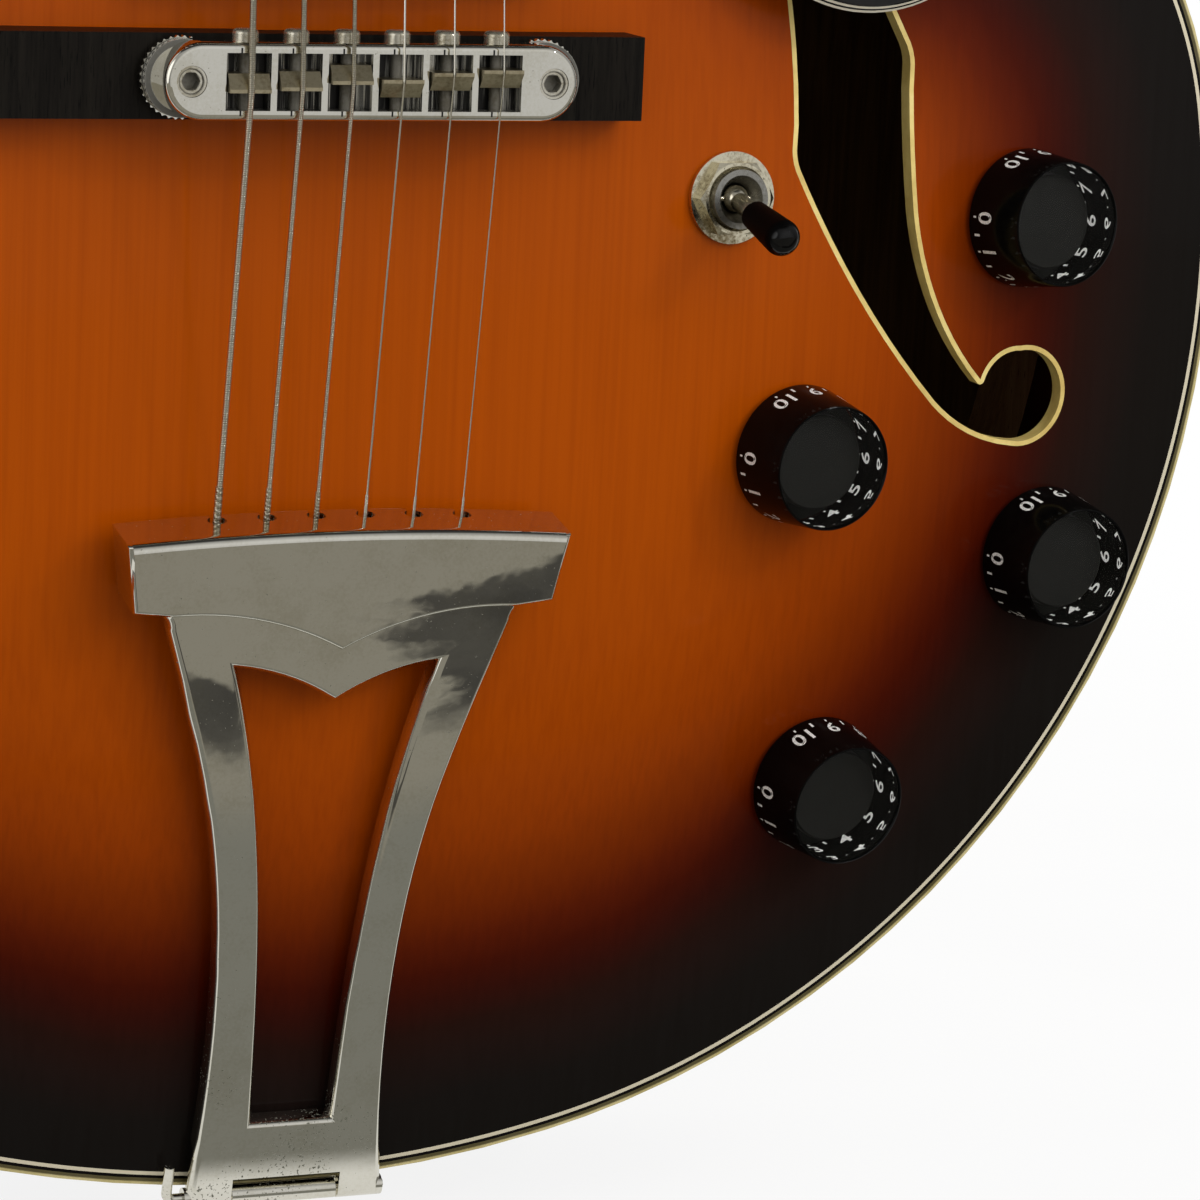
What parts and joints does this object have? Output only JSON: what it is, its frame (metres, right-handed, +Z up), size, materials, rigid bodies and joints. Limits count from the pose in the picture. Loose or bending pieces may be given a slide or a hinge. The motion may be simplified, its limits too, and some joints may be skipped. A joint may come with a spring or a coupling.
{
  "type": "archtop guitar",
  "caption": "Hollow-body archtop electric guitar with sunburst top, f-holes, hinged frame tailpiece, adjustable bridge on an ebony base, speed knobs and a toggle switch.",
  "frame": {"origin": "middle of the tail end of the rim, where the tail strap button is fixed", "axes": "+Z up along the neck to the headstock, -Y out of the front (strings side), +X to the treble side"},
  "size_m": [0.4124, 0.1443, 1.0513],
  "materials": {
    "sunburst_top": "gloss sunburst lacquer",
    "sunburst_back": "gloss sunburst lacquer",
    "sunburst_rim": "gloss dark lacquer",
    "inner_wood": "bare",
    "cream_binding": "yellowed gloss",
    "neck_wood": "gloss lacquer",
    "dark_wood": "oiled",
    "nickel": "aged nickel plate",
    "pearl": "pearl",
    "bone": "polished bone",
    "steel": "plain",
    "black_plastic": "gloss",
    "black_lacquer": "gloss lacquer",
    "chrome": "polished, pitted with age",
    "ebony": "satin",
    "string_steel": "plain and wound wire",
    "coil_black": "bobbin",
    "knob_black": "clear over black"
  },
  "bodies": {
    "body": {"top_plate": "sunburst_top", "back_plate": "sunburst_back", "sides": "sunburst_rim", "linings_and_blocks": "inner_wood", "tone_bars": "inner_wood", "bindings": "cream_binding", "f_hole_bindings": "cream_binding", "neck": "neck_wood", "fingerboard": "dark_wood", "frets": "nickel", "position_markers": "pearl", "nut": "bone", "truss_rod": "steel", "truss_rod_cover": "black_plastic", "headstock_overlay": "black_lacquer", "pickguard": "black_plastic", "pickguard_bracket": "chrome", "bridge_base": "ebony", "bridge_posts": "nickel", "tailpiece_hanger": "chrome", "strap_buttons": "chrome", "strings": "string_steel", "pickup_rings": "black_plastic", "pickup_covers": "chrome", "pickup_coils": "coil_black", "control_pots": "steel", "switch_body": "steel", "panel_nuts": "nickel", "output_jack": "nickel", "tuner_housings": "chrome", "mounting_screws": "nickel"},
    "knob_neck_volume": {"knob_neck_volume": "knob_black"},
    "knob_bridge_volume": {"knob_bridge_volume": "knob_black"},
    "knob_neck_tone": {"knob_neck_tone": "knob_black"},
    "knob_bridge_tone": {"knob_bridge_tone": "knob_black"},
    "toggle": {"toggle_lever": "nickel", "toggle_tip": "black_plastic"},
    "bridge": {"bridge_body": "chrome", "saddle_screws": "nickel"},
    "thumbwheel_bass": {"thumbwheel_bass": "chrome"},
    "thumbwheel_treble": {"thumbwheel_treble": "chrome"},
    "saddle_6": {"saddle_6": "nickel"},
    "saddle_5": {"saddle_5": "nickel"},
    "saddle_4": {"saddle_4": "nickel"},
    "saddle_3": {"saddle_3": "nickel"},
    "saddle_2": {"saddle_2": "nickel"},
    "saddle_1": {"saddle_1": "nickel"},
    "tailpiece": {"tailpiece": "chrome"},
    "tuner_key_6": {"tuner_key_6": "chrome"},
    "tuner_post_6": {"tuner_post_6": "chrome"},
    "tuner_key_5": {"tuner_key_5": "chrome"},
    "tuner_post_5": {"tuner_post_5": "chrome"},
    "tuner_key_4": {"tuner_key_4": "chrome"},
    "tuner_post_4": {"tuner_post_4": "chrome"},
    "tuner_key_3": {"tuner_key_3": "chrome"},
    "tuner_post_3": {"tuner_post_3": "chrome"},
    "tuner_key_2": {"tuner_key_2": "chrome"},
    "tuner_post_2": {"tuner_post_2": "chrome"},
    "tuner_key_1": {"tuner_key_1": "chrome"},
    "tuner_post_1": {"tuner_post_1": "chrome"}
  },
  "joints": [
    {"name": "knob_neck_volume_turn", "type": "hinge", "parent": "body", "child": "knob_neck_volume", "pos_m": [0.15671, -0.04934, 0.20329], "axis": [-0.1815, 0.9831, -0.0249], "range_deg": [0, 300]},
    {"name": "knob_bridge_volume_turn", "type": "hinge", "parent": "body", "child": "knob_bridge_volume", "pos_m": [0.10308, -0.05776, 0.15528], "axis": [-0.1191, 0.9917, 0.0477], "range_deg": [0, 300]},
    {"name": "knob_neck_tone_turn", "type": "hinge", "parent": "body", "child": "knob_neck_tone", "pos_m": [0.1669, -0.04569, 0.1302], "axis": [-0.1298, 0.9901, 0.0538], "range_deg": [0, 300]},
    {"name": "knob_bridge_tone_turn", "type": "hinge", "parent": "body", "child": "knob_bridge_tone", "pos_m": [0.115, -0.04825, 0.0825], "axis": [-0.1219, 0.9833, 0.135], "range_deg": [0, 300]},
    {"name": "toggle_throw", "type": "hinge", "parent": "body", "child": "toggle", "pos_m": [0.08517, -0.06167, 0.20897], "axis": [-0.9976, -0.07, 0], "range_deg": [0, 32]},
    {"name": "bridge_lift", "type": "slide", "parent": "body", "child": "bridge", "axis": [0, -1, 0], "range_m": [-0.00105, 0.00385], "deforming": ["strings"]},
    {"name": "thumbwheel_bass_turn", "type": "hinge", "parent": "bridge", "child": "thumbwheel_bass", "pos_m": [-0.037, -0.0718, 0.23397], "axis": [0, -1, 0], "range_deg": [-541, 1981]},
    {"name": "thumbwheel_treble_turn", "type": "hinge", "parent": "bridge", "child": "thumbwheel_treble", "pos_m": [0.037, -0.0718, 0.23397], "axis": [0, -1, 0], "range_deg": [-541, 1981]},
    {"name": "saddle_6_slide", "type": "slide", "parent": "bridge", "child": "saddle_6", "axis": [0, 0, 1], "range_m": [-0.0034, 0.0038], "deforming": ["strings"]},
    {"name": "saddle_5_slide", "type": "slide", "parent": "bridge", "child": "saddle_5", "axis": [0, 0, 1], "range_m": [-0.0039, 0.0033], "deforming": ["strings"]},
    {"name": "saddle_4_slide", "type": "slide", "parent": "bridge", "child": "saddle_4", "axis": [0, 0, 1], "range_m": [-0.0052, 0.002], "deforming": ["strings"]},
    {"name": "saddle_3_slide", "type": "slide", "parent": "bridge", "child": "saddle_3", "axis": [0, 0, 1], "range_m": [-0.0026, 0.0046], "deforming": ["strings"]},
    {"name": "saddle_2_slide", "type": "slide", "parent": "bridge", "child": "saddle_2", "axis": [0, 0, 1], "range_m": [-0.004, 0.0032], "deforming": ["strings"]},
    {"name": "saddle_1_slide", "type": "slide", "parent": "bridge", "child": "saddle_1", "axis": [0, 0, 1], "range_m": [-0.0046, 0.0026], "deforming": ["strings"]},
    {"name": "tailpiece_hinge", "type": "hinge", "parent": "body", "child": "tailpiece", "pos_m": [0, -0.0456, -0.0012], "axis": [1, 0, 0], "range_deg": [0, 80], "stiffness_Nm_per_rad": 6, "deforming": ["strings"]},
    {"name": "tuner_key_6_turn", "type": "hinge", "parent": "body", "child": "tuner_key_6", "pos_m": [-0.025, 0.00765, 0.91567], "axis": [-1, 0, 0], "continuous": true},
    {"name": "tuner_post_6_turn", "type": "hinge", "parent": "body", "child": "tuner_post_6", "pos_m": [-0.025, -0.01471, 0.91399], "axis": [0, -0.9511, 0.309], "continuous": true, "deforming": ["strings"]},
    {"name": "tuner_key_5_turn", "type": "hinge", "parent": "body", "child": "tuner_key_5", "pos_m": [-0.02725, 0.02094, 0.95656], "axis": [-1, 0, 0], "continuous": true},
    {"name": "tuner_post_5_turn", "type": "hinge", "parent": "body", "child": "tuner_post_5", "pos_m": [-0.02725, -0.00142, 0.95489], "axis": [0, -0.9511, 0.309], "continuous": true, "deforming": ["strings"]},
    {"name": "tuner_key_4_turn", "type": "hinge", "parent": "body", "child": "tuner_key_4", "pos_m": [-0.0295, 0.03423, 0.99746], "axis": [-1, 0, 0], "continuous": true},
    {"name": "tuner_post_4_turn", "type": "hinge", "parent": "body", "child": "tuner_post_4", "pos_m": [-0.0295, 0.01186, 0.99579], "axis": [0, -0.9511, 0.309], "continuous": true, "deforming": ["strings"]},
    {"name": "tuner_key_3_turn", "type": "hinge", "parent": "body", "child": "tuner_key_3", "pos_m": [0.0295, 0.03423, 0.99746], "axis": [1, 0, 0], "continuous": true},
    {"name": "tuner_post_3_turn", "type": "hinge", "parent": "body", "child": "tuner_post_3", "pos_m": [0.0295, 0.01186, 0.99579], "axis": [0, -0.9511, 0.309], "continuous": true, "deforming": ["strings"]},
    {"name": "tuner_key_2_turn", "type": "hinge", "parent": "body", "child": "tuner_key_2", "pos_m": [0.02725, 0.02094, 0.95656], "axis": [1, 0, 0], "continuous": true},
    {"name": "tuner_post_2_turn", "type": "hinge", "parent": "body", "child": "tuner_post_2", "pos_m": [0.02725, -0.00142, 0.95489], "axis": [0, -0.9511, 0.309], "continuous": true, "deforming": ["strings"]},
    {"name": "tuner_key_1_turn", "type": "hinge", "parent": "body", "child": "tuner_key_1", "pos_m": [0.025, 0.00765, 0.91567], "axis": [1, 0, 0], "continuous": true},
    {"name": "tuner_post_1_turn", "type": "hinge", "parent": "body", "child": "tuner_post_1", "pos_m": [0.025, -0.01471, 0.91399], "axis": [0, -0.9511, 0.309], "continuous": true, "deforming": ["strings"]}
  ],
  "couplings": [
    {"joint": "thumbwheel_bass_turn", "follows": "bridge_lift", "rad_per_m": 8976},
    {"joint": "thumbwheel_treble_turn", "follows": "bridge_lift", "rad_per_m": 8976},
    {"joint": "tuner_post_6_turn", "follows": "tuner_key_6_turn", "ratio": -0.071429},
    {"joint": "tuner_post_5_turn", "follows": "tuner_key_5_turn", "ratio": -0.071429},
    {"joint": "tuner_post_4_turn", "follows": "tuner_key_4_turn", "ratio": -0.071429},
    {"joint": "tuner_post_3_turn", "follows": "tuner_key_3_turn", "ratio": 0.071429},
    {"joint": "tuner_post_2_turn", "follows": "tuner_key_2_turn", "ratio": 0.071429},
    {"joint": "tuner_post_1_turn", "follows": "tuner_key_1_turn", "ratio": 0.071429}
  ]
}
